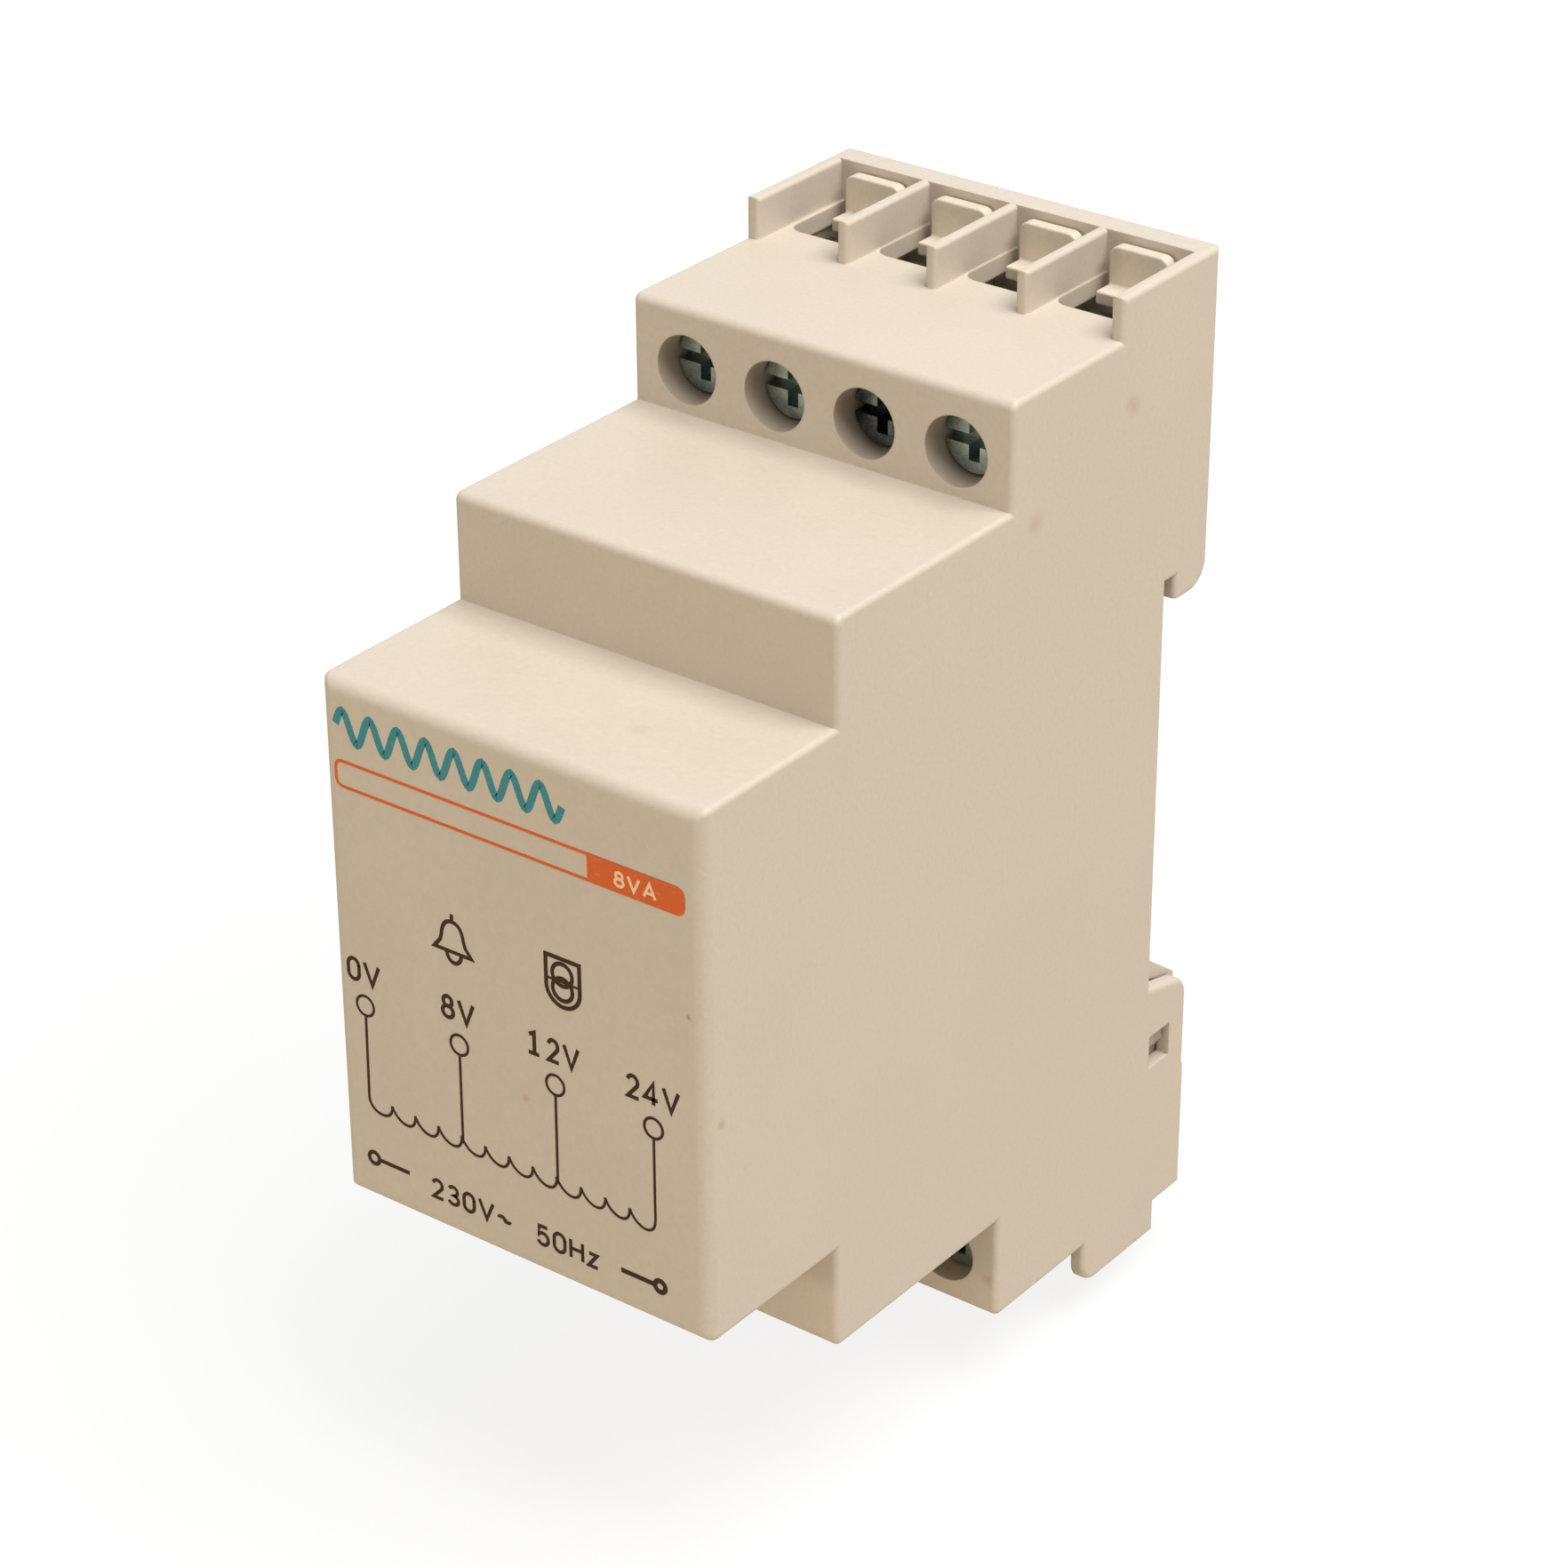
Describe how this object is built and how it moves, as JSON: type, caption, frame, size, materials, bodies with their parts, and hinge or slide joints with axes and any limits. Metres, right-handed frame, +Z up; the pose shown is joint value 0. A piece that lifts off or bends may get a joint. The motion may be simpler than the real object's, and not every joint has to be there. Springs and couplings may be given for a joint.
{
  "type": "doorbell transformer",
  "caption": "Bell transformer for a 35 mm rail: stepped plastic housing, recessed screw clamps with finned wire bays, rail hook and sprung clip, laminated core and windings inside.",
  "frame": {"origin": "centre of the rail seat plane, at the middle of the rail", "axes": "+X to the right seen from the front, +Y towards the rail and wall, +Z up"},
  "size_m": [0.036, 0.0655, 0.0892],
  "materials": {
    "bobbin_plastic": "natural glass-filled nylon",
    "carrier_plastic": "fine matt texture, warm light grey",
    "contact_brass": "bare stamped brass",
    "copper_wire": "enamelled copper wire, layer wound",
    "core_steel": "stacked electrical sheet, varnished",
    "cutout_case": "white moulded case",
    "housing_plastic": "fine spark-eroded texture, warm light grey",
    "lead_sleeve": "insulated stranded lead",
    "print_orange": "pad-printed ink, half gloss",
    "spring_steel": "drawn spring wire",
    "tape": "yellow polyester tape",
    "zinc_cage": "zinc plated steel strip",
    "zinc_screw": "zinc plated, blue-green passivated"
  },
  "bodies": {
    "body": {"base_plate": "housing_plastic", "bobbin": "bobbin_plastic", "clip_spring": "spring_steel", "core_e_stack": "core_steel", "core_i_stack": "core_steel", "cutout_lead": "lead_sleeve", "housing": "housing_plastic", "lower_contact_bar_1": "contact_brass", "lower_contact_bar_2": "contact_brass", "lower_terminal_carrier": "carrier_plastic", "primary_lead_1": "lead_sleeve", "primary_lead_2": "lead_sleeve", "primary_tape": "tape", "primary_winding": "copper_wire", "print_bar": "print_orange", "secondary_lead_1": "lead_sleeve", "secondary_lead_2": "lead_sleeve", "secondary_lead_3": "lead_sleeve", "secondary_lead_4": "lead_sleeve", "secondary_tape": "tape", "secondary_winding": "copper_wire", "thermal_cutout": "cutout_case", "upper_contact_bar_1": "contact_brass", "upper_contact_bar_2": "contact_brass", "upper_contact_bar_3": "contact_brass", "upper_contact_bar_4": "contact_brass", "upper_terminal_carrier": "carrier_plastic"},
    "clip": {"rail_clip": "housing_plastic"},
    "upper_screw_1": {"upper_screw_1": "zinc_screw"},
    "upper_cage_1": {"upper_cage_1": "zinc_cage"},
    "upper_screw_2": {"upper_screw_2": "zinc_screw"},
    "upper_cage_2": {"upper_cage_2": "zinc_cage"},
    "upper_screw_3": {"upper_screw_3": "zinc_screw"},
    "upper_cage_3": {"upper_cage_3": "zinc_cage"},
    "upper_screw_4": {"upper_screw_4": "zinc_screw"},
    "upper_cage_4": {"upper_cage_4": "zinc_cage"},
    "lower_screw_1": {"lower_screw_1": "zinc_screw"},
    "lower_cage_1": {"lower_cage_1": "zinc_cage"},
    "lower_screw_2": {"lower_screw_2": "zinc_screw"},
    "lower_cage_2": {"lower_cage_2": "zinc_cage"}
  },
  "joints": [
    {"name": "clip_slide", "type": "slide", "parent": "body", "child": "clip", "axis": [0, 0, -1], "range_m": [0, 0.0032], "stiffness_N_per_m": 1200, "springref_m": -0.002, "deforming": ["clip_spring"]},
    {"name": "upper_screw_1_turn", "type": "hinge", "parent": "body", "child": "upper_screw_1", "pos_m": [-0.0128, -0.015, 0.0352], "axis": [0, 1, 0], "range_deg": [0, 2520]},
    {"name": "upper_cage_1_slide", "type": "slide", "parent": "body", "child": "upper_cage_1", "axis": [0, -1, 0], "range_m": [0, 0.0042]},
    {"name": "upper_screw_2_turn", "type": "hinge", "parent": "body", "child": "upper_screw_2", "pos_m": [-0.00426, -0.015, 0.0352], "axis": [0, 1, 0], "range_deg": [0, 2520]},
    {"name": "upper_cage_2_slide", "type": "slide", "parent": "body", "child": "upper_cage_2", "axis": [0, -1, 0], "range_m": [0, 0.0042]},
    {"name": "upper_screw_3_turn", "type": "hinge", "parent": "body", "child": "upper_screw_3", "pos_m": [0.00426, -0.015, 0.0352], "axis": [0, 1, 0], "range_deg": [0, 2520]},
    {"name": "upper_cage_3_slide", "type": "slide", "parent": "body", "child": "upper_cage_3", "axis": [0, -1, 0], "range_m": [0, 0.0042]},
    {"name": "upper_screw_4_turn", "type": "hinge", "parent": "body", "child": "upper_screw_4", "pos_m": [0.0128, -0.015, 0.0352], "axis": [0, 1, 0], "range_deg": [0, 2520]},
    {"name": "upper_cage_4_slide", "type": "slide", "parent": "body", "child": "upper_cage_4", "axis": [0, -1, 0], "range_m": [0, 0.0042]},
    {"name": "lower_screw_1_turn", "type": "hinge", "parent": "body", "child": "lower_screw_1", "pos_m": [-0.0128, -0.015, -0.0364], "axis": [0, 1, 0], "range_deg": [0, 2520]},
    {"name": "lower_cage_1_slide", "type": "slide", "parent": "body", "child": "lower_cage_1", "axis": [0, -1, 0], "range_m": [0, 0.0042]},
    {"name": "lower_screw_2_turn", "type": "hinge", "parent": "body", "child": "lower_screw_2", "pos_m": [0.0128, -0.015, -0.0364], "axis": [0, 1, 0], "range_deg": [0, 2520]},
    {"name": "lower_cage_2_slide", "type": "slide", "parent": "body", "child": "lower_cage_2", "axis": [0, -1, 0], "range_m": [0, 0.0042]}
  ],
  "couplings": [
    {"joint": "upper_screw_1_turn", "follows": "upper_cage_1_slide", "rad_per_m": 10472},
    {"joint": "upper_screw_2_turn", "follows": "upper_cage_2_slide", "rad_per_m": 10472},
    {"joint": "upper_screw_3_turn", "follows": "upper_cage_3_slide", "rad_per_m": 10472},
    {"joint": "upper_screw_4_turn", "follows": "upper_cage_4_slide", "rad_per_m": 10472},
    {"joint": "lower_screw_1_turn", "follows": "lower_cage_1_slide", "rad_per_m": 10472},
    {"joint": "lower_screw_2_turn", "follows": "lower_cage_2_slide", "rad_per_m": 10472}
  ]
}
